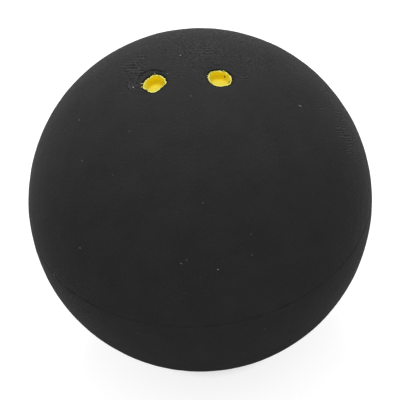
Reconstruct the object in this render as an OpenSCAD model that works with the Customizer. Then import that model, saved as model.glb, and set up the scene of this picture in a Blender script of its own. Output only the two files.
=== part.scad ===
// Squash ball: two moulded rubber half shells bonded round the middle, with a pair of sunk dots.
// The origin is the centre of the ball and the seam lies in the XY plane.
// +Z runs through the pole midway between the dots, and +X points over the right-hand dot.

/* [Ball] */
// Outer diameter of the ball
ball_d = 40; // [36:0.1:44]
// Thickness of the rubber wall
wall_t = 5; // [3.5:0.1:7]

/* [Seam] */
// Thickness of the cured adhesive between the two flat rims
bond_t = 0.1; // [0.06:0.01:0.25]
// Depth of the bevel on the outer edge of each rim, measured into the wall
bevel_in = 0.09; // [0.07:0.01:0.3]
// Height of that bevel, measured along the pole
bevel_h = 0.05; // [0.04:0.01:0.2]
// How far the adhesive stops short of the outer surface
bond_sink = 0.03; // [0.02:0.01:0.05]
// Size of the chamfer on the inner edge of each rim
chamfer = 0.5; // [0.3:0.05:0.8]
// How far the squeezed-out bead stands proud inside the ball
bead_rise = 0.3; // [0.1:0.05:0.5]

/* [Dots] */
// Distance between the centres of the two dots, straight across
dot_pitch = 7.53; // [6:0.01:10]
// Outer diameter of the yellow lining at its rim
dot_d = 2.75; // [2.5:0.05:3.2]
// Depth of the recess in the rubber, from the outer surface to its floor
recess_depth = 1.16; // [0.9:0.02:1.6]
// Diameter of the floor of the recess, before its corner is rounded
recess_floor_d = 2; // [1.6:0.05:2.3]
// Radius of the rounded corner round the floor of the recess
floor_round = 0.4; // [0.25:0.05:0.5]
// Radius of the rounded lip at the mouth of the recess
lip_round = 0.1; // [0.05:0.01:0.12]
// Thickness of the yellow lining
lining_t = 0.15; // [0.08:0.01:0.2]
// How far the rim of the lining lies below the outer surface
lining_drop = 0.18; // [0.16:0.01:0.3]
// Diameter of the shallow ring that the moulding pin leaves round each dot
collar_d = 4.5; // [4.2:0.1:5]
// Depth of that ring below the outer surface
collar_depth = 0.06; // [0.03:0.01:0.07]
// Width of the sloping edge of that ring
collar_slope = 0.2; // [0.1:0.05:0.4]

/* [Hidden] */
$fn = 144;

// How far a cut runs past the face that it opens
overrun = 1;

// Ball
ball_r = ball_d / 2;
hollow_r = ball_r - wall_t;

// Rims and adhesive, seen in the half plane of radius and height
rim_z = bond_t / 2;
bevel_run = overrun * bevel_h / bevel_in;
mouth_z = rim_z + chamfer;
mouth_r = sqrt(hollow_r ^ 2 - mouth_z ^ 2);
bead_r = (mouth_z ^ 2 + bead_rise ^ 2) / (2 * bead_rise);
bead_centre_r = mouth_r - bead_rise + bead_r;

// Dots, seen in the half plane of one dot: its axis is the height
dot_tilt = asin(dot_pitch / 2 / ball_r);
dot_r = dot_d / 2;
recess_floor_r = recess_floor_d / 2;
floor_z = ball_r - recess_depth;
lining_top_r = ball_r - lining_drop;
collar_r = collar_d / 2;
collar_floor_r = ball_r - collar_depth;
top_z = ball_r + overrun;

// The wall of the recess leans out from its floor to the rim of the lining
lining_rim_z = sqrt(lining_top_r ^ 2 - dot_r ^ 2);
wall_lean = atan((dot_r - recess_floor_r) / (lining_rim_z - floor_z));
corner_share = tan(45 - wall_lean / 2);

// The lip circle touches both the wall of the recess and the floor of the ring
lip_base = [recess_floor_r + lip_round * cos(wall_lean), floor_z - lip_round * sin(wall_lean)];
lip_along = lip_base * [sin(wall_lean), cos(wall_lean)];
lip_path_r = collar_floor_r - lip_round;
lip_rise = sqrt(lip_along ^ 2 - lip_base * lip_base + lip_path_r ^ 2) - lip_along;
lip_centre = lip_base + lip_rise * [sin(wall_lean), cos(wall_lean)];
lip_on_wall = lip_centre - lip_round * [cos(wall_lean), -sin(wall_lean)];
lip_beyond = lip_centre * (top_z / lip_path_r);

// Half of the shell's section on one side of the seam, as it is revolved
module rim_section() {
    difference() {
        circle(r = ball_r);
        circle(r = hollow_r);
        translate([-top_z, rim_z - top_z]) square([2 * top_z, top_z]);
        translate([-top_z, 0]) square([top_z, top_z]);
        outer_bevel();
        inner_chamfer();
    }
}

// Bevel on the outer edge of the rim, which leaves the line round the ball
module outer_bevel() {
    bevel_r = ball_r - bevel_in;
    polygon([
        [bevel_r, rim_z - overrun],
        [bevel_r, rim_z],
        [ball_r + overrun, rim_z + bevel_h + bevel_run],
        [ball_r + overrun, rim_z - overrun]
    ]);
}

// Chamfer on the inner edge of the rim, which takes the bead
module inner_chamfer() {
    polygon([
        [mouth_r - overrun, rim_z - overrun],
        [mouth_r - overrun, mouth_z + overrun],
        [mouth_r, mouth_z],
        [mouth_r + chamfer, rim_z],
        [mouth_r + chamfer, rim_z - overrun]
    ]);
}

// Section of the cup-shaped recess, drawn in by a gap on every wall
module cup_section(gap) {
    corner_r = recess_floor_r - gap * corner_share;
    round_r = floor_round - gap;
    base_z = floor_z + gap;
    centre = [corner_r - round_r * corner_share, base_z + round_r];
    on_wall = centre + round_r * [cos(wall_lean), -sin(wall_lean)];
    rise = top_z - on_wall[1];
    polygon([
        [0, base_z],
        [centre[0], base_z],
        on_wall,
        on_wall + [rise * tan(wall_lean), rise],
        [0, top_z]
    ]);
    translate(centre) circle(r = round_r);
}

// Extra opening at the mouth of the recess, outside the rounded lip
module lip_section() {
    difference() {
        polygon([[0, lip_on_wall[1]], lip_on_wall, lip_centre, lip_beyond, [0, top_z]]);
        translate(lip_centre) circle(r = lip_round);
    }
}

// Section of the shallow ring, whose floor follows the ball
module collar_section() {
    edge_z = sqrt(ball_r ^ 2 - collar_r ^ 2);
    foot_z = sqrt(collar_floor_r ^ 2 - (collar_r - collar_slope) ^ 2);
    slope = (edge_z - foot_z) / collar_slope;
    difference() {
        polygon([
            [0, foot_z],
            [collar_r - collar_slope, foot_z],
            [collar_r, edge_z],
            [collar_r, top_z],
            [0, top_z]
        ]);
        circle(r = collar_floor_r);
    }
}

// Everything that one dot takes out of the rubber
module recess() {
    rotate_extrude() {
        intersection() {
            union() {
                cup_section(0);
                lip_section();
                collar_section();
            }
            square([top_z, top_z]);
        }
    }
}

// Puts a shape on the axis of the dot on one side of the pole
module at_dot(side) {
    rotate([0, side * dot_tilt, 0]) children();
}

// Upper half shell, with its rim facing down at the seam
module half_shell() {
    rotate_extrude() rim_section();
}

// Upper half shell with both recesses
module dotted_half() {
    color("#2b2b2b") difference() {
        half_shell();
        for (side = [-1, 1]) at_dot(side) recess();
    }
}

// Lower half shell, bare all over
module plain_half() {
    color("#2b2b2b") mirror([0, 0, 1]) half_shell();
}

// Ring of adhesive: the layer between the rims, the fill in the outer groove and the inner bead
module seam_bond() {
    color("#151515") rotate_extrude() difference() {
        intersection() {
            union() {
                translate([mouth_r, -mouth_z]) square([wall_t, 2 * mouth_z]);
                translate([bead_centre_r, 0]) circle(r = bead_r);
            }
            circle(r = ball_r - bond_sink);
        }
        rim_section();
        mirror([0, 1]) rim_section();
    }
}

// Yellow lining of one recess, with a flat rim just below the outer surface
module dot_lining() {
    color("#ecc824") rotate_extrude() difference() {
        intersection() {
            cup_section(0);
            circle(r = lining_top_r);
            square([top_z, top_z]);
        }
        cup_section(lining_t);
    }
}

module dot_left() { at_dot(-1) dot_lining(); }
module dot_right() { at_dot(1) dot_lining(); }

dotted_half();
plain_half();
seam_bond();
dot_left();
dot_right();
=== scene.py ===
"""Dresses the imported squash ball: fine rubber, a faint seam, sunk yellow dots and soft studio light."""
import math

import bmesh
import bpy
import numpy as np
from mathutils import Matrix, Vector
from mathutils.geometry import delaunay_2d_cdt


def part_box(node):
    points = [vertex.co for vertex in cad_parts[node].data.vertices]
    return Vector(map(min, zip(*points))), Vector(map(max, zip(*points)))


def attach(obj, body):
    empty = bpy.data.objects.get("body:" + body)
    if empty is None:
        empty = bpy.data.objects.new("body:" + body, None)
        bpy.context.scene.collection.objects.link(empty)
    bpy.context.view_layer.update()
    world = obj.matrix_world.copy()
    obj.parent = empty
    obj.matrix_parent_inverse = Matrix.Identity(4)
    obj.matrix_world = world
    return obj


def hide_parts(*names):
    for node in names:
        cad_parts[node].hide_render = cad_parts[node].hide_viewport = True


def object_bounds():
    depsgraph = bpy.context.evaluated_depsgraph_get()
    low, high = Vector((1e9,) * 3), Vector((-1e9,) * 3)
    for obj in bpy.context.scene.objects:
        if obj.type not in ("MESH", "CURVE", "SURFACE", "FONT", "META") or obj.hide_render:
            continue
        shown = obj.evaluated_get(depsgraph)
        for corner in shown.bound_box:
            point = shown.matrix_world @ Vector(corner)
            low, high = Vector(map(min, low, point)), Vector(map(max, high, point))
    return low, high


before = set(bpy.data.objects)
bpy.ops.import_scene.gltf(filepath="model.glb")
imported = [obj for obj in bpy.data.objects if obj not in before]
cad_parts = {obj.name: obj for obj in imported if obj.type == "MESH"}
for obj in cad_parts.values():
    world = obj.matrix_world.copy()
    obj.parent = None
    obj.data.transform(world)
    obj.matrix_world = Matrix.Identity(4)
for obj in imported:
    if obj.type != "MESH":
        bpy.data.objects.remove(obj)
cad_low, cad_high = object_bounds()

# Lengths are in metres, and MM turns a length in millimetres into metres
MM = 0.001
BODY = "root"

# The ball and its seam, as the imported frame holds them
BALL_R = cad_high.z
WALL = 5 * MM
HOLLOW_R = BALL_R - WALL
RIM_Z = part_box("dotted_half")[0].z
MOUTH_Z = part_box("seam_bond")[1].z
MOUTH_R = math.sqrt(HOLLOW_R**2 - MOUTH_Z**2)
CHAMFER = MOUTH_Z - RIM_Z
BEVEL_IN = 0.09 * MM
BEVEL_H = 0.05 * MM
BOND_SINK = 0.03 * MM
BEAD_RISE = 0.3 * MM

# The dots and their recesses
DOT_PITCH = 7.53 * MM
DOT_TILT = math.asin(DOT_PITCH / 2 / BALL_R)
DOT_R = 1.375 * MM
RECESS_DEPTH = 1.16 * MM
RECESS_FLOOR_R = 1 * MM
FLOOR_ROUND = 0.4 * MM
LIP_ROUND = 0.1 * MM
LINING = 0.15 * MM
LINING_DROP = 0.18 * MM
COLLAR_R = 2.25 * MM
COLLAR_DEPTH = 0.06 * MM
COLLAR_SLOPE = 0.2 * MM

# Gap that keeps a lining from sharing a face with its recess
HAIR = 0.002 * MM

# How finely the meshes are drawn, and how far their rings reach
SEAM_COLUMNS = 480
DOT_COLUMNS = 192
DOTTED_STEP = 0.23 * MM
PLAIN_STEP = 0.28 * MM
DOT_SKIN_R = 4.6 * MM
LIP_POINTS = 8
CORNER_POINTS = 6
WALL_STEPS = 8
LINING_POINTS = 7
LINING_WALL_STEPS = 9
BEAD_POINTS = 11
HOLLOW_POINTS = 20
HOLLOW_TOP = math.radians(87)
FLOOR_SHARES = (0.75, 0.5, 0.25)
SHARP_EDGE = math.radians(40)

# Rings of the skin: heights over the bevel in millimetres, and steps that grow round a dot
SEAM_RING_LIFTS = (0, 0.05, 0.13, 0.25, 0.42, 0.64)
FIRST_RING_STEP = 0.04 * MM
LAST_RING_STEP = 0.13 * MM
RING_STEP_GROWTH = 1.03

# Unevenness of a recess: swell of its outline as a share of its radius, rubber pushed up round its
# mouth, wear of its lining's rim, and waves in the moulded ring round it
OUTLINE_SWELL = 0.011
MOUTH_LIFT = 0.012 * MM
RIM_WEAR = 0.016 * MM
COLLAR_WAVES = 0.05 * MM

# Camera, as the photograph was taken
CAMERA_AZIMUTH = math.radians(2.5)
CAMERA_ELEVATION = math.radians(45.72)
CAMERA_ROLL = math.radians(-6.2)
CAMERA_DISTANCE = 26 * BALL_R
PHOTO_SIDE_PX = 400
BALL_CENTRE_PX = (200.2, 199.8)
BALL_RADIUS_PX = 171.9
SENSOR = 36.0


def camera_axes():
    """The camera's right, up and backward directions."""
    right = np.array([math.cos(CAMERA_AZIMUTH), math.sin(CAMERA_AZIMUTH), 0.0])
    flat = math.cos(CAMERA_ELEVATION)
    back = np.array([
        math.sin(CAMERA_AZIMUTH) * flat,
        -math.cos(CAMERA_AZIMUTH) * flat,
        math.sin(CAMERA_ELEVATION),
    ])
    up = np.cross(back, right)
    turned = math.cos(CAMERA_ROLL) * right + math.sin(CAMERA_ROLL) * up
    return turned, np.cross(back, turned), back


RIGHT, UP, BACK = camera_axes()
PHOTO_AXES = Matrix([RIGHT.tolist(), UP.tolist(), BACK.tolist()]).transposed()
FOCAL_PX = BALL_RADIUS_PX * math.sqrt((CAMERA_DISTANCE / BALL_R) ** 2 - 1)


def unit(vectors):
    """The same directions with length one."""
    return vectors / np.linalg.norm(vectors, axis=-1, keepdims=True)


def seen_at(x, y):
    """Direction from the centre of the ball to what the photograph shows at one place."""
    across, down = x - BALL_CENTRE_PX[0], y - BALL_CENTRE_PX[1]
    ray = unit(across / FOCAL_PX * RIGHT - down / FOCAL_PX * UP - BACK)
    start = CAMERA_DISTANCE * BACK
    along = start @ ray
    reach = -along - math.sqrt(along * along - start @ start + BALL_R**2)
    return unit(start + reach * ray)


def smooth(value, start, end):
    """0 before start and 1 after end, with a soft step between."""
    share = np.clip((value - start) / (end - start), 0, 1)
    return share * share * (3 - 2 * share)


def waves(points, pitch, count, seed):
    """Smooth random relief of about unit height, from waves of about one pitch in all directions."""
    rng = np.random.default_rng(seed)
    ways = unit(rng.normal(size=(count, 3)))
    rates = 2 * math.pi / pitch * rng.uniform(0.7, 1.4, count)
    starts = rng.uniform(0, 2 * math.pi, count)
    total = np.zeros(len(points))
    for way, rate, start in zip(ways, rates, starts):
        total += np.cos(points @ way * rate + start)
    return total / math.sqrt(count / 2)


def ring_waves(angles, lowest, highest, seed):
    """Random waves round a circle, of about unit height."""
    rng = np.random.default_rng(seed)
    total = np.zeros(len(angles))
    for rate in range(lowest, highest + 1):
        total += rng.normal() * np.cos(rate * angles + rng.uniform(0, 2 * math.pi))
    return total / math.sqrt((highest - lowest + 1) / 2)


def ring_angles(count, turn=0.0):
    """Even angles round a circle; the turn is a share of one step."""
    return (np.arange(count) + turn) * 2 * math.pi / count


def circle(count, turn=0.0):
    """Points of a flat ring of radius one."""
    angles = ring_angles(count, turn)
    return np.stack([np.cos(angles), np.sin(angles), np.zeros(count)], 1)


def turn_off(angles, centre):
    """How far angles lie from a centre given in degrees, either way round."""
    return np.abs(np.angle(np.exp(1j * (angles - math.radians(centre)))))


def in_scene(name, data):
    """Makes an object and puts it in the scene."""
    made = bpy.data.objects.new(name, data)
    bpy.context.scene.collection.objects.link(made)
    return made


class Net:
    """Points and faces of one mesh, with the place of each face corner on the texture sheet."""

    def __init__(self):
        self.points = []
        self.faces = []
        self.sheet = []
        self.count = 0

    def add(self, points):
        """Adds points and returns their indices."""
        points = np.asarray(points, float).reshape(-1, 3)
        self.points.append(points)
        self.count += len(points)
        return np.arange(self.count - len(points), self.count)

    def add_faces(self, faces, spots):
        """Adds faces, and the spots on the sheet of each of their corners."""
        self.faces += np.asarray(faces).tolist()
        self.sheet.append(np.asarray(spots, float).reshape(-1, 2))

    def band(self, low, high, low_spots, high_spots):
        """Joins two rings of the same number of points with quads."""
        corners = [low, np.roll(low, -1), np.roll(high, -1), high]
        spots = [low_spots, np.roll(low_spots, -1, 0), np.roll(high_spots, -1, 0), high_spots]
        self.add_faces(np.stack(corners, 1), np.stack(spots, 1))

    def rings(self, rings, spots, first, first_spots):
        """Adds rings one after the other, joined up from the first, and returns the last."""
        last, last_spots = first, first_spots
        for ring, here_spots in zip(rings, spots):
            here = self.add(ring)
            self.band(last, here, last_spots, here_spots)
            last, last_spots = here, here_spots
        return last

    def cap(self, ring, ring_spots, centre, centre_spot):
        """Closes a ring with a fan round one point."""
        middle = np.full(len(ring), int(self.add([centre])[0]))
        centre_spots = np.tile(np.asarray(centre_spot, float), (len(ring), 1))
        faces = np.stack([ring, np.roll(ring, -1), middle], 1)
        self.add_faces(faces, np.stack([ring_spots, np.roll(ring_spots, -1, 0), centre_spots], 1))

    def piece(self, name, material, nodes=(), marks=None, half=1):
        """Makes the mesh object, which rides on the ball and stands for the CAD nodes named."""
        points = np.concatenate(self.points) * np.array([1, 1, half])
        mesh = bpy.data.meshes.new(name)
        mesh.from_pydata(points.tolist(), [], self.faces)
        sheet = mesh.uv_layers.new(name="OFBake")
        sheet.data.foreach_set("uv", np.concatenate(self.sheet).ravel())
        for key, values in (marks or {}).items():
            layer = mesh.attributes.new(key, "FLOAT", "POINT")
            layer.data.foreach_set("value", np.asarray(values, float))
        shape = bmesh.new()
        shape.from_mesh(mesh)
        bmesh.ops.recalc_face_normals(shape, faces=shape.faces)
        shape.to_mesh(mesh)
        shape.free()
        mesh.shade_smooth()
        mesh.set_sharp_from_angle(angle=SHARP_EDGE)
        mesh.materials.append(material)
        made = in_scene(name, mesh)
        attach(made, BODY)
        if nodes:
            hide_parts(*nodes)


class Dot:
    """One recess: its own axes, its uneven outline and its profile."""

    def __init__(self, name, side, seed, deeper, lobes, dents, nicks, dirt, arc):
        self.name = name
        self.seed = seed
        self.lobes = lobes
        self.dents = dents
        self.nicks = nicks
        self.dirt = dirt
        self.arc = arc
        tilt = side * DOT_TILT
        self.axis = np.array([math.sin(tilt), 0, math.cos(tilt)])
        self.east = np.array([math.cos(tilt), 0, -math.sin(tilt)])
        self.north = np.array([0.0, 1.0, 0.0])
        self.floor_z = BALL_R - RECESS_DEPTH - deeper
        self.measure()

    def measure(self):
        """Works out the recess in the half plane of radius and height."""
        self.rim_z = math.sqrt((BALL_R - LINING_DROP) ** 2 - DOT_R**2)
        self.lean = math.atan((DOT_R - RECESS_FLOOR_R) / (self.rim_z - self.floor_z))
        self.corner_share = math.tan(math.pi / 4 - self.lean / 2)
        self.along = np.array([math.sin(self.lean), math.cos(self.lean)])
        self.across = np.array([math.cos(self.lean), -math.sin(self.lean)])
        base = np.array([RECESS_FLOOR_R, self.floor_z]) + LIP_ROUND * self.across
        path_r = BALL_R - COLLAR_DEPTH - LIP_ROUND
        reach = base @ self.along
        rise = math.sqrt(reach**2 - base @ base + path_r**2) - reach
        self.lip_centre = base + rise * self.along
        self.lip_start = self.lip_centre * (1 + LIP_ROUND / path_r)
        self.lip_end = self.lip_centre - LIP_ROUND * self.across

    def outline(self, angles):
        """How far the mouth departs from a circle, as a share of its radius."""
        swell = OUTLINE_SWELL * ring_waves(angles, 5, 17, self.seed)
        for share, rate, top in self.lobes:
            swell = swell + share * np.cos(rate * (angles - math.radians(top)))
        for top, width, share in self.dents:
            swell = swell + share * np.exp(-((turn_off(angles, top) / math.radians(width)) ** 2))
        return swell

    def near_mouth(self, height):
        """1 at the mouth of the recess and 0 at its floor."""
        return float(smooth(height, self.floor_z, self.lip_start[1]))

    def lift(self, angles):
        """How far the pin pushed up the rubber round the mouth."""
        return MOUTH_LIFT * (1 + ring_waves(angles, 3, 12, self.seed + 3))

    def torn(self, angles):
        """How far the rim of the lining is worn down at its nicks."""
        drop = RIM_WEAR * ring_waves(angles, 7, 31, self.seed + 1)
        for top, width, depth in self.nicks:
            drop = drop + depth * np.exp(-((turn_off(angles, top) / math.radians(width)) ** 2))
        return drop

    def crisp_arc(self, angles):
        """How far the moulded ring shows as a step, how crisp it is there, and its radius."""
        start, end, start_r, end_r, strength = self.arc
        turn = np.degrees(angles) % 360
        shown = smooth(turn, start - 10, start + 12) * (1 - smooth(turn, end - 12, end + 10))
        radius = (start_r + (end_r - start_r) * smooth(turn, start, end - 20)) * MM
        uneven = np.clip(0.8 + 0.25 * ring_waves(angles, 7, 23, self.seed + 4), 0.3, 1)
        return shown, shown * strength * uneven, radius

    def local(self, points):
        """Radius and angle of points about the axis of the dot."""
        x = points @ self.east
        y = points @ self.north
        return np.hypot(x, y), np.arctan2(y, x)

    def outward(self, angles):
        """Directions out from the axis of the dot."""
        return np.cos(angles)[:, None] * self.east + np.sin(angles)[:, None] * self.north

    def place(self, radius, angles, height):
        """Points at a radius, angle and height about the axis of the dot."""
        radius = np.broadcast_to(radius, angles.shape)[:, None]
        height = np.broadcast_to(height, angles.shape)[:, None]
        return radius * self.outward(angles) + height * self.axis

    def corner(self, gap, steps):
        """The wall's foot, its rounded corner and the floor's edge, drawn in by a gap."""
        foot_r = RECESS_FLOOR_R - gap * self.corner_share
        round_r = FLOOR_ROUND - gap
        centre = np.array([foot_r - round_r * self.corner_share, self.floor_z + gap + round_r])
        turns = np.linspace(self.lean, math.pi / 2, steps)
        return [centre + round_r * np.array([math.cos(t), -math.sin(t)]) for t in turns]


# Deeper is how far the floor lies below the CAD model's. Each lobe is a share of the radius, a count
# and an angle; each dent is an angle, a width and a share of the radius, above zero for a bulge;
# each nick is an angle, a width and a depth; each speck of dirt is an angle, a radius and a size in
# millimetres; the arc is its first and last angle, its radius in millimetres at each end, and a
# strength. Angles and their widths are in degrees.
DOTS = [
    Dot(
        "left", -1, seed=11, deeper=0.04 * MM,
        lobes=[(0.04, 1, 222), (0.025, 3, 45), (0.045, 4, 85), (0.015, 5, 36), (0.012, 7, 25)],
        dents=[
            (172, 13, -0.12), (200, 7, 0.03), (222, 4, -0.07),
            (102, 13, 0.04), (300, 16, -0.05), (350, 8, 0.09),
        ],
        nicks=[(120, 9, 0.05 * MM), (226, 7, 0.1 * MM), (316, 8, 0.04 * MM), (28, 6, 0.05 * MM)],
        dirt=[(205, 1.12, 0.09), (218, 1.27, 0.11)],
        arc=(50, 145, 1.85, 2.47, 1.0),
    ),
    Dot(
        "right", 1, seed=23, deeper=-0.04 * MM,
        lobes=[(0.04, 1, 254), (0.02, 2, 150), (0.016, 2, 20), (0.02, 4, 58), (0.014, 6, 15)],
        dents=[(145, 9, 0.03), (68, 8, -0.02)],
        nicks=[(75, 8, 0.04 * MM), (272, 9, 0.09 * MM), (288, 5, 0.07 * MM), (30, 6, 0.05 * MM)],
        dirt=[(51, 1.02, 0.11), (344, 1.12, 0.21), (326, 1.16, 0.11)],
        arc=(75, 180, 2.12, 1.96, 0.35),
    ),
]

# Patches of scuffed rubber, of rippled rubber and of fading seam: place in the photograph, reach in
# millimetres and strength
SCUFFS = [
    ((135, 67), 1.6, 0.8),
    ((132, 84), 1.3, 0.9),
    ((204, 77), 0.9, 0.6),
    ((213, 43), 1.1, 1.0),
    ((200, 48), 4.5, 0.6),
    ((95, 70), 3.5, 0.5),
    ((106, 59), 1.2, 0.9),
    ((77, 86), 1.2, 0.9),
    ((250, 60), 2.5, 0.5),
    ((336, 106), 1.5, 0.9),
    ((350, 130), 3.0, 0.7),
    ((72, 292), 3.0, 0.5),
]
RIPPLES = [
    ((139, 60), 0.9, 0.9),
    ((131, 68), 1.1, 1.0),
    ((139, 72), 0.9, 0.9),
    ((162, 37), 0.8, 0.7),
    ((207, 53), 1.2, 0.7),
    ((180, 74), 1.2, 0.3),
    ((243, 77), 0.7, 0.6),
    ((323, 91), 0.8, 0.7),
    ((322, 109), 0.7, 0.5),
    ((341, 117), 1.0, 1.0),
    ((340, 132), 0.8, 1.0),
    ((348, 139), 1.2, 1.0),
    ((349, 150), 0.8, 0.8),
]
SEAM_FADES = [
    ((157, 325), 4.5, 0.75),
    ((230, 323), 1.4, 0.8),
    ((269, 313), 1.4, 1.0),
    ((350, 255), 1.5, 0.6),
]

# Fine ripples beside the left dot
WRINKLED_PX = (134, 67)
WRINKLED_R = 1.4 * MM
WRINKLE_PITCH = 0.34 * MM
WRINKLE_HEIGHT = 0.008 * MM
WRINKLE_DRIFT_PITCH = 1.9 * MM
WRINKLE_BREAK_PITCH = 0.8 * MM

# Waves of the skin's relief: height, pitch, number of waves and seed
RELIEF = (
    (0.008 * MM, 5.5 * MM, 40, 1),
    (0.005 * MM, 2.2 * MM, 48, 2),
    (0.0022 * MM, 0.95 * MM, 64, 3),
)

# Height over the seam at which the relief is full, and the darkening of the skin along the seam
FULL_RELIEF_Z = 0.7 * MM
SEAM_DARKENING_SHARE = 0.22
SEAM_DARKENING_Z = 0.16 * MM
SEAM_DARKENING_PITCH = 3 * MM

# Scuffing all round the ball and at its upper back
WORN_SCUFF = 0.12
WORN_PITCH = 9 * MM
UPPER_SCUFF = 0.4


def patches(ways, spots):
    """How strongly a set of patches shows at each direction, from 0 to 1."""
    total = np.zeros(len(ways))
    for (x, y), reach, strength in spots:
        away = np.linalg.norm(ways - seen_at(x, y), axis=1) * BALL_R / MM
        total = np.maximum(total, strength * np.exp(-((away / reach) ** 2)))
    return total


def scuffing(ways):
    """How scuffed the rubber is at each direction: more at the upper back, and in patches all round."""
    worn = WORN_SCUFF * smooth(waves(BALL_R * ways, WORN_PITCH, 40, 71), 0, 2)
    upper = UPPER_SCUFF * smooth(ways @ UP, 0.6, 0.95)
    return np.maximum.reduce([worn, upper, patches(ways, SCUFFS)])


def wrinkles(points):
    """Short fine ripples in the skin beside the left dot."""
    away = np.linalg.norm(points - BALL_R * seen_at(*WRINKLED_PX), axis=1)
    reach = np.exp(-((away / WRINKLED_R) ** 2))
    drift = 0.9 * waves(points, WRINKLE_DRIFT_PITCH, 24, 51)
    long_ways = points * np.array([0.45, 1, 1])
    broken = smooth(waves(long_ways, WRINKLE_BREAK_PITCH, 32, 52), -0.6, 0.9)
    return reach * broken * np.sin(2 * math.pi * (points @ UP) / WRINKLE_PITCH + drift)


def skin_relief(points):
    """Height of the rubber's uneven surface over the true sphere."""
    height = np.zeros(len(points))
    for rise, pitch, count, seed in RELIEF:
        height += rise * waves(points, pitch, count, seed)
    return height + WRINKLE_HEIGHT * wrinkles(points)


def calm(ways):
    """Fades the relief out at the seam, so that both halves and the bond meet there."""
    return smooth(np.abs(ways[:, 2]) * BALL_R, BEVEL_H, FULL_RELIEF_Z)


# Skin round a dot: how far its changes reach past the ring and past the mouth, the widest soft edge
# of the ring, the trough inside a crisp edge, the painted shade line along it, and the reach of the
# painted shade round the mouth
COLLAR_REACH = 1.2 * MM
MOUTH_REACH = 0.5 * MM
SOFT_EDGE = 0.45 * MM
TROUGH_SHARE = 0.35
TROUGH_START = 0.6 * MM
TROUGH_END = 0.2 * MM
LINE_INSET = 0.07 * MM
LINE_WIDTH = 0.08 * MM
MOUTH_SHADE_REACH = 0.14 * MM


def dot_skin(points):
    """The moulded rings round the dots and the pull of their uneven mouths: points, depth and painted
    shade.
    """
    sink = np.zeros(len(points))
    shade = np.zeros(len(points))
    moved = points.copy()
    for dot in DOTS:
        radius, angle = dot.local(points)
        near = (radius < COLLAR_R + COLLAR_REACH) & (points @ dot.axis > 0)
        radius, angle = radius[near], angle[near]
        shown, crisp, arc_r = dot.crisp_arc(angle)
        edge = COLLAR_R + COLLAR_WAVES * ring_waves(angle, 2, 7, dot.seed + 2)
        edge += shown * (arc_r - edge)
        soft = (1 - crisp) * SOFT_EDGE
        inside = 1 - smooth(radius, edge - COLLAR_SLOPE * 0.6 - soft, edge + soft)
        trough = TROUGH_SHARE * crisp * smooth(radius, edge - TROUGH_START, edge - TROUGH_END)
        sink[near] += COLLAR_DEPTH * inside * (1 + trough)
        mouth = 1 - smooth(radius, dot.lip_start[0], dot.lip_start[0] + MOUTH_REACH)
        sink[near] -= dot.lift(angle) * mouth
        pull = dot.outline(angle) * DOT_R * mouth
        moved[near] += pull[:, None] * dot.outward(angle)
        # Painted shade: a dark line in the crease along the crisp part of the ring
        line = np.exp(-(((radius - edge + LINE_INSET) / LINE_WIDTH) ** 2))
        beyond = smooth(radius, dot.lip_start[0], dot.lip_start[0] + MOUTH_SHADE_REACH)
        # Painted shade round the mouth of the recess, a little darker on the side towards -Y
        mouth_shade = (0.7 - 0.1 * np.sin(angle)) * (1 - beyond)
        shade[near] = np.maximum.reduce([shade[near], crisp * line, mouth_shade])
    return moved, sink, shade


def seam_darkening(ways):
    """Darker skin along the seam, in patches, and least where the seam fades."""
    away = np.abs(ways[:, 2]) * BALL_R
    patchy = smooth(waves(BALL_R * ways, SEAM_DARKENING_PITCH, 32, 81), -0.8, 1.2)
    patchy = patchy * (1 - patches(ways, SEAM_FADES))
    return SEAM_DARKENING_SHARE * patchy * np.exp(-((away / SEAM_DARKENING_Z) ** 2))


def sphere_ring(height, turn=0.0):
    """Directions of a ring of points at a height over the seam."""
    sine = height / BALL_R
    return math.sqrt(1 - sine * sine) * circle(SEAM_COLUMNS, turn) + np.array([0, 0, sine])


def dot_ways(dot, other):
    """Directions of the rings round one dot; the first is the mouth of its recess."""
    rings = []
    radius, step, turn = dot.lip_start[0], FIRST_RING_STEP, 0.0
    while radius < DOT_SKIN_R:
        height = math.sqrt(BALL_R**2 - radius**2)
        ring = unit(dot.place(radius, ring_angles(DOT_COLUMNS, turn), height))
        rings.append(ring[ring @ dot.axis > ring @ other.axis + 0.001])
        radius += step
        step = min(step * RING_STEP_GROWTH, LAST_RING_STEP)
        turn = 0.5 - turn
    return rings


def skin_ways(with_dots):
    """Directions spread over the upper outer surface: seam rings, dot rings, then an even spread."""
    heights = RIM_Z + BEVEL_H + np.array(SEAM_RING_LIFTS) * MM
    groups = [sphere_ring(height, 0.5 * (i % 2)) for i, height in enumerate(heights)]
    mouths = []
    if with_dots:
        for dot, other in (DOTS, DOTS[::-1]):
            mouths.append(sum(len(group) for group in groups))
            groups += dot_ways(dot, other)
    gap = DOTTED_STEP if with_dots else PLAIN_STEP
    count = int(2 * math.pi * BALL_R**2 / gap**2)
    index = np.arange(count) + 0.5
    sine = 1 - index / count
    angles = index * math.pi * (3 - math.sqrt(5))
    flat = np.sqrt(1 - sine * sine)
    spread = np.stack([flat * np.cos(angles), flat * np.sin(angles), sine], 1)
    keep = spread[:, 2] * BALL_R > heights[-1] + gap / 2
    if with_dots:
        for dot in DOTS:
            keep &= spread @ dot.axis < math.cos((DOT_SKIN_R + 0.1 * MM) / BALL_R)
    groups.append(spread[keep])
    return np.concatenate(groups), mouths


def triangulate(ways, mouths):
    """Even triangles over directions of the upper half, with the mouths left open."""
    plane = ways[:, :2] / (1 + ways[:, 2:])
    edges = []
    for start in mouths:
        ring = list(range(start, start + DOT_COLUMNS))
        edges += list(zip(ring, ring[1:] + ring[:1]))
    made = delaunay_2d_cdt([Vector(p) for p in plane.tolist()], edges, [], 0, 1e-9)
    origin = np.array([first[0] for first in made[3]])
    triangles = origin[np.array(made[2])]
    keep = np.ones(len(triangles), bool)
    for start in mouths:
        inside = (triangles >= start) & (triangles < start + DOT_COLUMNS)
        keep &= ~inside.all(1)
    return triangles[keep]


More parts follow.
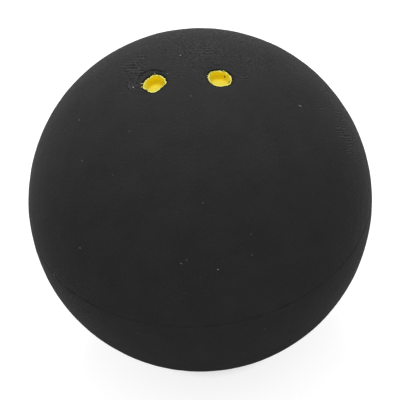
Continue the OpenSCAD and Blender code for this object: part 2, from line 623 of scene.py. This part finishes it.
# Discs of the texture sheet, each a centre and a radius
SKIN_DISC = (np.array([0.485, 0.485]), 0.475)
INSIDE_DISC = (np.array([0.892, 0.892]), 0.098)
LINING_DISC = (np.array([0.41, 0.41]), 0.4)
LINING_BACK_DISC = (np.array([0.84, 0.84]), 0.15)
BOND_DISC = (np.array([0.5, 0.5]), 0.49)


def disc_spots(disc, share, columns):
    """Places on the sheet for one ring of a disc."""
    centre, radius = disc
    return centre + radius * share * circle(columns)[:, :2]


def skin_spots(ways):
    """Places on the sheet for directions on the upper half, in equal areas."""
    centre, radius = SKIN_DISC
    flat = ways[:, :2] / np.maximum(np.linalg.norm(ways[:, :2], axis=1), 1e-9)[:, None]
    return centre + radius * np.sqrt(np.clip(1 - ways[:, 2:], 0, None)) * flat


def skin_height(ways):
    """Distance of the skin from the centre of the ball in each direction."""
    points = BALL_R * ways
    return BALL_R - dot_skin(points)[1] + skin_relief(points) * calm(ways)


def inside_section():
    """Bevel, flat rim, chamfer and hollow of one half, as radius and height."""
    section = [
        (BALL_R - BEVEL_IN * 0.5, RIM_Z + BEVEL_H * 0.5),
        (BALL_R - BEVEL_IN, RIM_Z),
        (BALL_R - WALL * 0.4, RIM_Z),
        (MOUTH_R + CHAMFER, RIM_Z),
        (MOUTH_R + CHAMFER * 0.5, RIM_Z + CHAMFER * 0.5),
        (MOUTH_R, MOUTH_Z),
    ]
    for lift in np.linspace(math.asin(MOUTH_Z / HOLLOW_R), HOLLOW_TOP, HOLLOW_POINTS)[1:]:
        section.append((HOLLOW_R * math.cos(lift), HOLLOW_R * math.sin(lift)))
    return section


def half_shell(name, half, node_name, material):
    """One moulded half: skin, recesses, bevelled rim and hollow, as one closed mesh."""
    net = Net()
    ways, mouths = skin_ways(half > 0)
    points = BALL_R * ways
    sink = shade = np.zeros(len(points))
    if mouths:
        points, sink, shade = dot_skin(points)
    moved = unit(points)
    true_side = np.array([1, 1, half])
    height = BALL_R - sink + skin_relief(points * true_side) * calm(moved)
    skin = net.add(moved * height[:, None])
    triangles = triangulate(ways, mouths)
    spots = skin_spots(ways)
    net.add_faces(triangles, spots[triangles])
    dug_shade = []
    for dot, start in zip(DOTS, mouths):
        ring = np.arange(start, start + DOT_COLUMNS)
        dug_shade += recess(net, dot, ring, spots[ring])
    dug = len(dug_shade)

    section = inside_section()
    shares = 1 - (np.arange(len(section)) + 1) / (len(section) + 1)
    rings = [r * circle(SEAM_COLUMNS) + np.array([0, 0, z]) for r, z in section]
    ring_spots = [disc_spots(INSIDE_DISC, share, SEAM_COLUMNS) for share in shares]
    last = net.rings(rings, ring_spots, skin[:SEAM_COLUMNS], disc_spots(INSIDE_DISC, 1, SEAM_COLUMNS))
    net.cap(last, ring_spots[-1], (0, 0, HOLLOW_R), INSIDE_DISC[0])

    hidden = net.count - len(skin) - dug
    plain = np.zeros(dug + hidden)
    marks = {
        "shade": np.concatenate([shade + seam_darkening(ways * true_side), dug_shade, np.zeros(hidden)]),
        "scuff": np.concatenate([scuffing(ways * true_side), plain]),
        "ripple": np.concatenate([patches(ways * true_side, RIPPLES), plain]),
    }
    net.piece(name, material, [node_name], marks, half)


def straight(start, end, steps):
    """Points on a straight line, without its start."""
    return [start + (end - start) * s for s in np.linspace(0, 1, steps + 1)[1:]]


def floor_points(edge):
    """Points of a flat floor, from near its edge in towards its middle."""
    return [np.array([edge[0] * share, edge[1]]) for share in FLOOR_SHARES]


def recess(net, dot, mouth, mouth_spots):
    """The lip, wall, corner and floor of one recess, down from its mouth; gives their painted shade."""
    angles = ring_angles(DOT_COLUMNS)
    swell = dot.outline(angles)
    first = math.atan2(*(dot.lip_start - dot.lip_centre))
    last = math.atan2(*(dot.lip_end - dot.lip_centre))
    lip = []
    for turn in np.linspace(first, last, LIP_POINTS)[1:]:
        lip.append(dot.lip_centre + LIP_ROUND * np.array([math.sin(turn), math.cos(turn)]))
    corner = dot.corner(0, CORNER_POINTS)
    profile = lip + straight(lip[-1], corner[0], WALL_STEPS) + corner[1:] + floor_points(corner[-1])
    middle = mouth_spots.mean(0)
    rings, spots = [], []
    for i, (radius, height) in enumerate(profile):
        near = dot.near_mouth(height)
        lifted = height + dot.lift(angles) * near**3
        rings.append(dot.place(radius * (1 + swell * near), angles, lifted))
        spots.append(middle + (mouth_spots - middle) * (1 - (i + 1) / (len(profile) + 1)))
    bottom = net.rings(rings, spots, mouth, mouth_spots)
    net.cap(bottom, spots[-1], dot.floor_z * dot.axis, middle)
    # Painted shade: rising over the lip to full on the wall, corner and floor of the recess
    shades = [min(1.0, (i + 1) / len(lip)) for i in range(len(profile))]
    return np.repeat(shades, DOT_COLUMNS).tolist() + [1.0]


# Fill of the outer groove in millimetres: its usual height, its waves, how much more there is where
# the seam fades, and its greatest height
FILL = 0.014
FILL_WAVES = 0.007
FILL_FADED = 0.008
FILL_TOP = 0.026

# How deep the middle of the fill lies under its edges, and the waves of the inner bead
FILL_DIP = 0.006 * MM
BEAD_WAVES = 0.03 * MM


def seam_bond(material):
    """The ring of cured adhesive, with an uneven fill in the outer groove and an uneven inner bead."""
    net = Net()
    angles = ring_angles(SEAM_COLUMNS)
    faint = patches(circle(SEAM_COLUMNS), SEAM_FADES)
    fill = FILL + FILL_WAVES * ring_waves(angles, 3, 60, 41) + FILL_FADED * faint
    fill = np.minimum(fill, FILL_TOP) * MM
    bead = BEAD_WAVES * ring_waves(angles, 4, 30, 42)
    face_r = BALL_R - BOND_SINK
    face_z = RIM_Z + BEVEL_H * (BEVEL_IN - BOND_SINK) / BEVEL_IN
    bulge = (MOUTH_Z**2 + BEAD_RISE**2) / (2 * BEAD_RISE)
    centre_r = MOUTH_R - BEAD_RISE + bulge
    reach = math.asin(MOUTH_Z / bulge)

    # Each point of the section is a radius, a height, its share of the fill and its share of the bead
    side = [
        (face_r, face_z, 1, 0),
        (BALL_R - BEVEL_IN, RIM_Z, 0, 0),
        (BALL_R - WALL * 0.4, RIM_Z, 0, 0),
        (MOUTH_R + CHAMFER, RIM_Z, 0, 0),
    ]
    section = list(side)
    for turn in np.linspace(reach, -reach, BEAD_POINTS):
        share = (math.cos(turn) - math.cos(reach)) / (1 - math.cos(reach))
        section.append((centre_r - bulge * math.cos(turn), bulge * math.sin(turn), 0, share))
    section += [(r, -z, out, share) for r, z, out, share in side[::-1]]
    section.append((face_r - FILL_DIP, 0, 1, 0))
    rings, spots = [], []
    for row, (radius, height, out, share) in enumerate(section):
        around = radius + out * fill + share * bead
        rings.append(around[:, None] * circle(SEAM_COLUMNS) + np.array([0, 0, height]))
        spots.append(disc_spots(BOND_DISC, 1 - 0.9 * row / len(section), SEAM_COLUMNS))
    first = net.add(rings[0])
    last = net.rings(rings[1:], spots[1:], first, spots[0])
    net.band(last, first, spots[-1], disc_spots(BOND_DISC, 0.1, SEAM_COLUMNS))
    marks = {"faint": np.tile(faint, len(section))}
    net.piece("seam_bond_fine", material, ["seam_bond"], marks)


def lining_profile(dot):
    """The lining's section from its back over its rim to its floor, its edge shares and its crest."""
    outer = dot.corner(HAIR, LINING_POINTS)
    inner = dot.corner(LINING, LINING_POINTS)
    rounding = LINING / 2
    middle = np.array([DOT_R, dot.rim_z]) - rounding * (dot.across + dot.along)
    rim = []
    for turn in np.linspace(0, math.pi, LINING_POINTS):
        way = math.cos(turn) * dot.across + math.sin(turn) * dot.along
        rim.append(middle + (rounding - HAIR) * way)
    back = floor_points(outer[-1])[::-1] + outer[::-1] + straight(outer[0], rim[0], WALL_STEPS)[:-1]
    front = straight(rim[-1], inner[0], LINING_WALL_STEPS)
    bed = inner[1:] + floor_points(inner[-1])
    edges = [0] * len(back) + [1] * len(rim) + [0.3] + [0] * (len(front) - 1 + len(bed))
    return back + rim + front + bed, edges, len(back) + LINING_POINTS // 2


# Height over the floor from which the rim's wear sets in, and the ring of painted shade at the foot of
# the wall: its height, its spread and the radii over which it sets in
WEAR_FROM = 0.3 * MM
FOOT_SHADE_HEIGHT = 0.32 * MM
FOOT_SHADE_SPREAD = 0.2 * MM
FOOT_SHADE_RADII = (0.6 * MM, 0.85 * MM)


def lining(dot, material):
    """The yellow lining of one recess, worn and uneven at its rim."""
    net = Net()
    angles = ring_angles(DOT_COLUMNS)
    swell = dot.outline(angles)
    drop = dot.torn(angles)
    profile, edges, top = lining_profile(dot)
    rings, spots, dirt, warm, darker = [], [], [], [], []
    for i, point in enumerate(profile):
        near = dot.near_mouth(point[1])
        worn = drop * smooth(point[1], dot.floor_z + WEAR_FROM, dot.rim_z)
        lowered = point - np.outer(worn, dot.along)
        rings.append(dot.place(lowered[:, 0] * (1 + swell * near), angles, lowered[:, 1]))
        if i <= top:
            disc, share = LINING_BACK_DISC, (i + 1) / (top + 1)
        else:
            disc, share = LINING_DISC, (len(profile) - i) / (len(profile) - top)
        spots.append(disc_spots(disc, share, DOT_COLUMNS))
        specks = np.zeros(DOT_COLUMNS)
        for centre, radius, size in dot.dirt:
            sideways = turn_off(angles, centre) * point[0] / (size * MM)
            outwards = (point[0] - radius * MM) / (0.6 * size * MM)
            specks += np.exp(-(sideways**2) - outwards**2) * (i > top)
        dirt.append(specks)
        # Share of orange: 1 towards +Y, 0 towards -Y, and a half at the middle of the floor
        warm.append(0.5 + 0.5 * np.sin(angles) * min(1.0, point[0] / RECESS_FLOOR_R))
        # Painted shade at the foot of the wall, strongest on the side towards +Y
        foot = math.exp(-(((point[1] - dot.floor_z - FOOT_SHADE_HEIGHT) / FOOT_SHADE_SPREAD) ** 2))
        darker.append(foot * smooth(point[0], *FOOT_SHADE_RADII) * (0.25 + 0.25 * np.sin(angles)))
    first = net.add(rings[0])
    crest = net.rings(rings[1:top + 1], spots[1:top + 1], first, spots[0])
    last = net.rings(rings[top + 1:], spots[top + 1:], crest, disc_spots(LINING_DISC, 1, DOT_COLUMNS))
    net.cap(last, spots[-1], (dot.floor_z + LINING) * dot.axis, LINING_DISC[0])
    net.cap(first, spots[0], (dot.floor_z + HAIR) * dot.axis, LINING_BACK_DISC[0])
    marks = {
        "edge": np.concatenate([np.repeat(edges, DOT_COLUMNS), [0, 0]]),
        "dirt": np.concatenate(dirt + [np.zeros(2)]),
        "warm": np.concatenate(warm + [np.full(2, 0.5)]),
        "darker": np.concatenate(darker + [np.zeros(2)]),
    }
    name = "dot_" + dot.name
    net.piece(name + "_lining", material, [name], marks)


# Profile of a crumb, as shares of its reach and of its height
CRUMB_SHARES = ((0.75, 0), (1.0, 0.3), (0.85, 0.75), (0.5, 0.95))
CRUMB_COLUMNS = 10
CRUMB_SUNK = 0.02 * MM
CRUMB_HEIGHT = 0.03 * MM
FLECK_HEIGHT = 0.015 * MM


def crumb(net, way, length, width, height, turn, rng):
    """One low, uneven crumb on the skin, turned from the direction that the photograph shows level."""
    level = unit(RIGHT - (RIGHT @ way) * way)
    first = math.cos(turn) * level + math.sin(turn) * np.cross(way, level)
    second = np.cross(way, first)
    base = (skin_height(way[None])[0] - CRUMB_SUNK) * way
    wobble = 1 + 0.2 * rng.normal(size=CRUMB_COLUMNS)
    around = circle(CRUMB_COLUMNS) * wobble[:, None]
    flat = length * around[:, :1] * first + width * around[:, 1:2] * second
    spot = rng.uniform(0.1, 0.9, 2)
    rings = [base + share * flat + rise * (height + CRUMB_SUNK) * way for share, rise in CRUMB_SHARES]
    spots = [disc_spots((spot, 0.01), 1 - 0.2 * i, CRUMB_COLUMNS) for i in range(len(rings))]
    low = net.add(rings[0])
    last = net.rings(rings[1:], spots[1:], low, spots[0])
    net.cap(last, spots[-1], base + (height + CRUMB_SUNK) * way, spot)
    net.cap(low, spots[0], base, spot)


# Pale crumbs of worn rubber: place in the photograph, half length and half width in millimetres,
# turn in degrees and how pale they are
CRUMBS = [
    ((300, 106), 0.2, 0.05, 0, 0.8),
    ((82, 161), 0.07, 0.05, 40, 0.7),
    ((129, 131), 0.06, 0.05, 0, 0.5),
    ((113, 175), 0.06, 0.05, 20, 0.5),
    ((203, 203), 0.06, 0.05, 80, 0.5),
    ((80, 248), 0.12, 0.05, 5, 0.6),
    ((54, 275), 0.06, 0.06, 60, 1.0),
    ((187, 260), 0.08, 0.06, 30, 0.4),
    ((181, 263.5), 0.13, 0.05, 0, 0.5),
    ((218, 269.5), 0.1, 0.05, -15, 1.0),
    ((251, 234), 0.06, 0.05, 70, 0.5),
    ((252, 255), 0.07, 0.05, 10, 0.5),
    ((138, 333), 0.08, 0.07, 20, 0.25),
    ((246, 328), 0.09, 0.05, 10, 0.2),
    ((265, 329), 0.06, 0.05, 75, 0.4),
    ((358, 228), 0.06, 0.06, 70, 0.4),
    ((180.5, 55.2), 0.11, 0.06, 88, 0.9),
    ((79, 120), 0.09, 0.06, 60, 0.5),
    ((94.6, 71.1), 0.1, 0.05, 80, 0.5),
    ((147, 45.4), 0.14, 0.05, 0, 0.3),
    ((143.6, 58.1), 0.1, 0.05, 5, 0.4),
    ((191, 96), 0.12, 0.04, 0, 0.3),
    ((133.2, 87.4), 0.09, 0.07, -20, 1.0),
    ((167.6, 73.3), 0.06, 0.05, 0, 0.6),
]

# Faded flecks of the lining beside the dots, in the same order
FLECKS = [
    ((141.8, 83.4), 0.17, 0.05, 0, 0.8),
    ((141.4, 86.6), 0.14, 0.06, 85, 0.4),
    ((154.6, 73.5), 0.09, 0.05, 20, 0.8),
    ((223.5, 70.1), 0.08, 0.06, 60, 0.8),
    ((207.4, 75.4), 0.08, 0.05, 40, 1.0),
    ((207.4, 77.4), 0.07, 0.05, 80, 1.0),
    ((210.4, 72.9), 0.1, 0.04, -10, 0.7),
]

# Crumbs that the photograph can't show: their number, and the limits that keep them out of its
# sight and off the floor
HIDDEN_CRUMBS = 26
SEEN_FROM = 0.1
RESTS_BELOW = -0.97


def placed_crumbs(net, spots, height, rng):
    """Crumbs where the photograph shows them; gives how pale each of their points is."""
    pale = []
    for (x, y), length, width, turn, paleness in spots:
        crumb(net, seen_at(x, y), length * MM, width * MM, height, math.radians(turn), rng)
        pale += [paleness] * (net.count - len(pale))
    return pale


def crumbs(material):
    """Crumbs where the photograph shows them, and a few more round the rest of the ball."""
    net = Net()
    rng = np.random.default_rng(5)
    pale = placed_crumbs(net, CRUMBS, CRUMB_HEIGHT, rng)
    made = 0
    while made < HIDDEN_CRUMBS:
        way = unit(rng.normal(size=3))
        if way @ BACK > SEEN_FROM or way[2] < RESTS_BELOW:
            continue
        size = rng.uniform(0.05, 0.1) * MM
        length = size * rng.uniform(1, 2.2)
        crumb(net, way, length, size * 0.8, CRUMB_HEIGHT, rng.uniform(0, math.pi), rng)
        pale += [rng.uniform(0.3, 1)] * (net.count - len(pale))
        made += 1
    net.piece("worn_crumbs", material, marks={"pale": pale})


def flecks(material):
    """Thin flecks of the lining left on the rubber beside the dots."""
    net = Net()
    pale = placed_crumbs(net, FLECKS, FLECK_HEIGHT, np.random.default_rng(6))
    net.piece("dot_flecks", material, marks={"pale": pale})


def new_material(name):
    """A material, its node tree, its shader and the place on the object."""
    material = bpy.data.materials.new(name)
    material.use_nodes = True
    tree = material.node_tree
    place = tree.nodes.new("ShaderNodeTexCoord").outputs["Object"]
    return material, tree, tree.nodes["Principled BSDF"], place


def add_node(tree, kind, inputs, **settings):
    """Makes a node with its settings, and sets each input to a value or links it to a socket."""
    made = tree.nodes.new(kind)
    for name, value in settings.items():
        setattr(made, name, value)
    for name, value in inputs.items():
        if isinstance(value, bpy.types.NodeSocket):
            tree.links.new(value, made.inputs[name])
        else:
            made.inputs[name].default_value = value
    return made


def noise(tree, place, cell, detail=2.0, roughness=0.5):
    """Noise whose cells have one size."""
    inputs = {"Scale": 1 / cell, "Detail": detail, "Roughness": roughness, "Vector": place}
    return add_node(tree, "ShaderNodeTexNoise", inputs).outputs["Fac"]


def spread_to(tree, value, low, high, start=0.3, end=0.7):
    """Maps a value from one range to another."""
    inputs = {"From Min": start, "From Max": end, "To Min": low, "To Max": high, "Value": value}
    return add_node(tree, "ShaderNodeMapRange", inputs).outputs["Result"]


def mark(tree, name):
    """A value that the mesh carries at its points."""
    return add_node(tree, "ShaderNodeAttribute", {}, attribute_name=name).outputs["Fac"]


def product(tree, first, second):
    """One value times another."""
    return add_node(tree, "ShaderNodeMath", {0: first, 1: second}, operation="MULTIPLY").outputs[0]


def combed(tree, place, stretch):
    """The place turned and squeezed, so that noise runs long where the photograph shows level."""
    inputs = {"Rotation": PHOTO_AXES.to_euler(), "Scale": (stretch, 1, stretch), "Vector": place}
    return add_node(tree, "ShaderNodeMapping", inputs, vector_type="TEXTURE").outputs["Vector"]


# How fast the phase of a wave texture runs with its scaled coordinate
WAVE_RATE = 20


def level_lines(tree, place, pitch):
    """Fine lines one pitch apart, which wander and run level in the photograph."""
    scale = 2 * math.pi / (WAVE_RATE * pitch)
    inputs = {"Scale": scale, "Distortion": 4, "Detail": 1, "Detail Scale": 2}
    inputs["Vector"] = combed(tree, place, 2)
    return add_node(tree, "ShaderNodeTexWave", inputs, bands_direction="Y").outputs["Fac"]


def mix_colours(tree, share, first, second):
    """Goes from one colour to another as the share goes from 0 to 1."""
    made = add_node(tree, "ShaderNodeMix", {0: share}, data_type="RGBA")
    for socket, colour in (("A", first), ("B", second)):
        inlet = [i for i in made.inputs if i.name == socket and i.type == "RGBA"][0]
        if isinstance(colour, tuple):
            inlet.default_value = (*colour, 1)
        else:
            tree.links.new(colour, inlet)
    return [o for o in made.outputs if o.type == "RGBA"][0]


def bump(tree, shader, heights):
    """Chains bumps: each entry is a height and its depth."""
    inputs = {"Strength": 1.0}
    for height, depth in heights:
        inputs.update({"Distance": depth, "Height": height})
        inputs["Normal"] = add_node(tree, "ShaderNodeBump", inputs).outputs["Normal"]
    tree.links.new(inputs["Normal"], shader.inputs["Normal"])


def dress(tree, shader, colour, roughness, gloss):
    """Gives a shader its colour, its roughness and its level of gloss."""
    tree.links.new(colour, shader.inputs["Base Color"])
    tree.links.new(roughness, shader.inputs["Roughness"])
    shader.inputs["Specular IOR Level"].default_value = gloss


def grey(level):
    """A colour without a hue."""
    return (level, level, level)


def rubber():
    """Matt black rubber: mottled, finely grained, and scuffed and rippled in places, with painted
    shading.
    """
    material, tree, shader, place = new_material("black_rubber")
    mottle = noise(tree, place, 3.5 * MM, 4, 0.6)
    speckle = noise(tree, place, 0.2 * MM, 2, 0.6)
    fine = noise(tree, place, 0.32 * MM, 3, 0.6)
    grain = noise(tree, place, 0.16 * MM, 2, 0.6)
    ripple = level_lines(tree, place, 0.32 * MM)
    broken = noise(tree, combed(tree, place, 1.5), 0.2 * MM, 1)
    breaks = spread_to(tree, broken, 0.2, 1, 0.42, 0.58)
    scuffed = mark(tree, "scuff")
    rippled = product(tree, mark(tree, "ripple"), breaks)
    shade = mix_colours(tree, spread_to(tree, mottle, 0, 1), grey(0.0215), grey(0.0255))
    shade = mix_colours(tree, spread_to(tree, grain, 0, 0.5, 0.55, 0.75), shade, grey(0.045))
    # Scuffed rubber: partly worn tone, partly painted shade in its pits and painted highlight on its
    # crests
    scuffed_tone_and_shading = mix_colours(tree, spread_to(tree, speckle, 0, 1, 0.38, 0.62), grey(0.006), grey(0.05))
    # Ripples: painted shade in their troughs and painted highlight on their crests
    ripple_shading = mix_colours(tree, spread_to(tree, ripple, 0, 1, 0.1, 0.9), grey(0.001), grey(0.055))
    shade = mix_colours(tree, scuffed, shade, scuffed_tone_and_shading)
    shade = mix_colours(tree, rippled, shade, ripple_shading)
    # Painted shade from the shade mark, nearly black where it is full
    shade = mix_colours(tree, spread_to(tree, mark(tree, "shade"), 0, 0.9, 0, 1), shade, grey(0.002))
    dress(tree, shader, shade, spread_to(tree, fine, 0.55, 0.65), 0.0165)
    shader.inputs["Sheen Weight"].default_value = 0.03
    shader.inputs["Sheen Roughness"].default_value = 0.3
    ridges = product(tree, ripple, rippled)
    pits = product(tree, speckle, scuffed)
    bump(tree, shader, [(fine, 0.06 * MM), (grain, 0.04 * MM), (pits, 0.06 * MM), (ridges, 0.05 * MM)])
    return material


def adhesive():
    """Cured adhesive: darker than the rubber, but near it where the seam fades."""
    material, tree, shader, place = new_material("cured_adhesive")
    blotch = noise(tree, place, 4 * MM, 3, 0.6)
    fine = noise(tree, place, 0.3 * MM, 3, 0.6)
    shade = mix_colours(tree, spread_to(tree, blotch, 0, 1, 0.4, 0.6), grey(0.014), grey(0.025))
    shade = mix_colours(tree, mark(tree, "faint"), shade, grey(0.0235))
    dress(tree, shader, shade, spread_to(tree, fine, 0.55, 0.75), 0.02)
    bump(tree, shader, [(fine, 0.03 * MM)])
    return material


def yellow():
    """Yellow lining: orange towards +Y, lemon towards -Y, and pale at its rim from wear and painted
    highlight.
    """
    material, tree, shader, place = new_material("yellow_dot")
    drift = noise(tree, place, 0.7 * MM)
    grain = noise(tree, place, 0.14 * MM)
    chip = noise(tree, place, 0.3 * MM, 1)
    warm = mark(tree, "warm")
    patchy = spread_to(tree, drift, 0, 1, 0.35, 0.65)
    lemon = mix_colours(tree, patchy, (0.57, 0.545, 0.03), (0.575, 0.6, 0.045))
    shade = mix_colours(tree, spread_to(tree, warm, 0, 1, 0.1, 0.5), lemon, (0.58, 0.495, 0.05))
    shade = mix_colours(tree, spread_to(tree, warm, 0, 1, 0.5, 0.9), shade, (0.86, 0.61, 0.002))
    # Painted shade at the foot of the wall
    shade = mix_colours(tree, mark(tree, "darker"), shade, (0.64, 0.47, 0.01))
    # Pale rim: worn chips of paint and a painted highlight
    chips_and_highlights = spread_to(tree, chip, 0, 1, 0.4, 0.6)
    rim = mix_colours(tree, chips_and_highlights, (0.57, 0.52, 0.03), (0.82, 0.78, 0.26))
    shade = mix_colours(tree, mark(tree, "edge"), shade, rim)
    dirty = spread_to(tree, mark(tree, "dirt"), 0, 0.9)
    shade = mix_colours(tree, dirty, shade, (0.03, 0.025, 0.01))
    dress(tree, shader, shade, spread_to(tree, grain, 0.45, 0.6), 0.06)
    bump(tree, shader, [(grain, 0.02 * MM)])
    return material


def speck(name, darker, pale):
    """Small bits that lie on the rubber, each as pale as its mark says."""
    material, tree, shader, place = new_material(name)
    grain = noise(tree, place, 0.08 * MM)
    shade = mix_colours(tree, mark(tree, "pale"), darker, pale)
    dress(tree, shader, shade, spread_to(tree, grain, 0.6, 0.8), 0.05)
    bump(tree, shader, [(grain, 0.01 * MM)])
    return material


# The floor just clears the ball's uneven skin at its lowest point. Its glow fades inwards from the
# contact radius as a painted shadow, and for the ball's own gloss a painted shadow darkens it inwards
# from the mirrored radius. Each share says how much of its radius the change takes.
FLOOR_Z = cad_low.z - 0.02 * MM
FLOOR_SIZE = 3.0
CONTACT_R = 10 * MM
CONTACT_SHARE = 0.5
MIRRORED_R = 21 * MM
MIRRORED_SHARE = 0.19

# The floor's grey as it lights the ball and as it is seen, and the glow that it has besides
LIT_GREY = 0.5
SEEN_GREY = 0.4
FLOOR_GLOW = 0.78
CONTACT_GLOW = 0.2

# Light: the world's even fill and one soft lamp, and white as the eye sees it
WHITE = (1, 1, 1, 1)
FILL_STRENGTH = 0.92
WHITE_STRENGTH = 1.0
KEY_PLACE = (0, 0.38, 0.515)
KEY_SIZE = 0.3
KEY_WATTS = 2.75


def mix_shaders(tree, share, first, second):
    """Goes from one shader to another as the share goes from 0 to 1."""
    return add_node(tree, "ShaderNodeMixShader", {0: share, 1: first, 2: second}).outputs[0]


def white_for_sight(tree, lit, shown):
    """One shader for camera, mirror and glass rays, and another for the rays that light the ball."""
    path = tree.nodes.new("ShaderNodeLightPath")
    total = path.outputs["Is Camera Ray"]
    for other in ("Is Glossy Ray", "Is Transmission Ray"):
        either = {0: total, 1: path.outputs[other]}
        total = add_node(tree, "ShaderNodeMath", either, operation="MAXIMUM").outputs[0]
    return mix_shaders(tree, total, lit, shown)


def surroundings():
    """White to the eye, and an even fill of light on the ball."""
    world = bpy.data.worlds.new("studio")
    bpy.context.scene.world = world
    world.use_nodes = True
    tree = world.node_tree
    tree.nodes.clear()
    fills = []
    for strength in (FILL_STRENGTH, WHITE_STRENGTH):
        fill = add_node(tree, "ShaderNodeBackground", {"Color": WHITE, "Strength": strength})
        fills.append(fill.outputs[0])
    add_node(tree, "ShaderNodeOutputWorld", {"Surface": white_for_sight(tree, *fills)})


def nearness(tree, place, radius):
    """1 where the ball touches the floor, falling evenly to 0 at a radius."""
    inputs = {"Scale": (1 / radius, 1 / radius, 0), "Vector": place}
    flat = {"Vector": add_node(tree, "ShaderNodeMapping", inputs).outputs["Vector"]}
    return add_node(tree, "ShaderNodeTexGradient", flat, gradient_type="SPHERICAL").outputs["Fac"]


def matt_grey(tree, level):
    """A matt shader of one grey."""
    return add_node(tree, "ShaderNodeBsdfDiffuse", {"Color": (*grey(level), 1)}).outputs[0]


def glow(tree, strength):
    """White light as strong as a value says."""
    return add_node(tree, "ShaderNodeEmission", {"Color": WHITE, "Strength": strength}).outputs[0]


def floor():
    """Pale floor with the ball's soft shadow and a painted shadow in its glow, deepest where the ball
    touches it.
    """
    corners = FLOOR_SIZE / math.sqrt(2) * circle(4, 0.5) + np.array([0, 0, FLOOR_Z])
    mesh = bpy.data.meshes.new("floor")
    mesh.from_pydata(corners.tolist(), [], [(0, 1, 2, 3)])
    made = in_scene("floor", mesh)
    material = bpy.data.materials.new("floor")
    material.use_nodes = True
    tree = material.node_tree
    tree.nodes.clear()
    place = tree.nodes.new("ShaderNodeTexCoord").outputs["Object"]
    contact = nearness(tree, place, CONTACT_R)
    # Painted shadow: the glow fades near where the ball touches the floor
    light = spread_to(tree, contact, FLOOR_GLOW, CONTACT_GLOW, 0, CONTACT_SHARE)
    both = {0: matt_grey(tree, SEEN_GREY), 1: glow(tree, light)}
    pale = add_node(tree, "ShaderNodeAddShader", both).outputs[0]
    below = nearness(tree, place, MIRRORED_R)
    # Painted shadow for the ball's gloss: no glow within most of the mirrored radius
    mirrored = glow(tree, spread_to(tree, below, 1, 0, 0, MIRRORED_SHARE))
    glossy = tree.nodes.new("ShaderNodeLightPath").outputs["Is Glossy Ray"]
    shown = mix_shaders(tree, glossy, pale, mirrored)
    surface = white_for_sight(tree, matt_grey(tree, LIT_GREY), shown)
    add_node(tree, "ShaderNodeOutputMaterial", {"Surface": surface})
    mesh.materials.append(material)


def soft_light(name, place, size, watts):
    """A round soft light that faces the ball."""
    lamp = bpy.data.lights.new(name, "AREA")
    lamp.shape = "DISK"
    lamp.size = size
    lamp.energy = watts
    holder = in_scene(name, lamp)
    holder.location = place
    holder.rotation_euler = (-Vector(place)).to_track_quat("-Z", "Y").to_euler()


def camera():
    """The camera, framed as the photograph is."""
    data = bpy.data.cameras.new("camera")
    data.sensor_width = SENSOR
    data.lens = FOCAL_PX * SENSOR / PHOTO_SIDE_PX
    data.shift_x = (PHOTO_SIDE_PX / 2 - BALL_CENTRE_PX[0]) / PHOTO_SIDE_PX
    data.shift_y = (BALL_CENTRE_PX[1] - PHOTO_SIDE_PX / 2) / PHOTO_SIDE_PX
    data.clip_start = 0.01
    holder = in_scene("camera", data)
    axes = PHOTO_AXES.to_4x4()
    axes.translation = CAMERA_DISTANCE * BACK
    holder.matrix_world = axes
    bpy.context.scene.camera = holder


black = rubber()
half_shell("dotted_half_skin", 1, "dotted_half", black)
half_shell("plain_half_skin", -1, "plain_half", black)
seam_bond(adhesive())
dot_paint = yellow()
for dot in DOTS:
    lining(dot, dot_paint)
flecks(speck("faded_yellow", (0.12, 0.11, 0.03), (0.5, 0.47, 0.2)))
crumbs(speck("worn_rubber", grey(0.03), grey(0.3)))

surroundings()
floor()
soft_light("key", KEY_PLACE, KEY_SIZE, KEY_WATTS)
camera()
bpy.context.scene.view_settings.view_transform = "Standard"
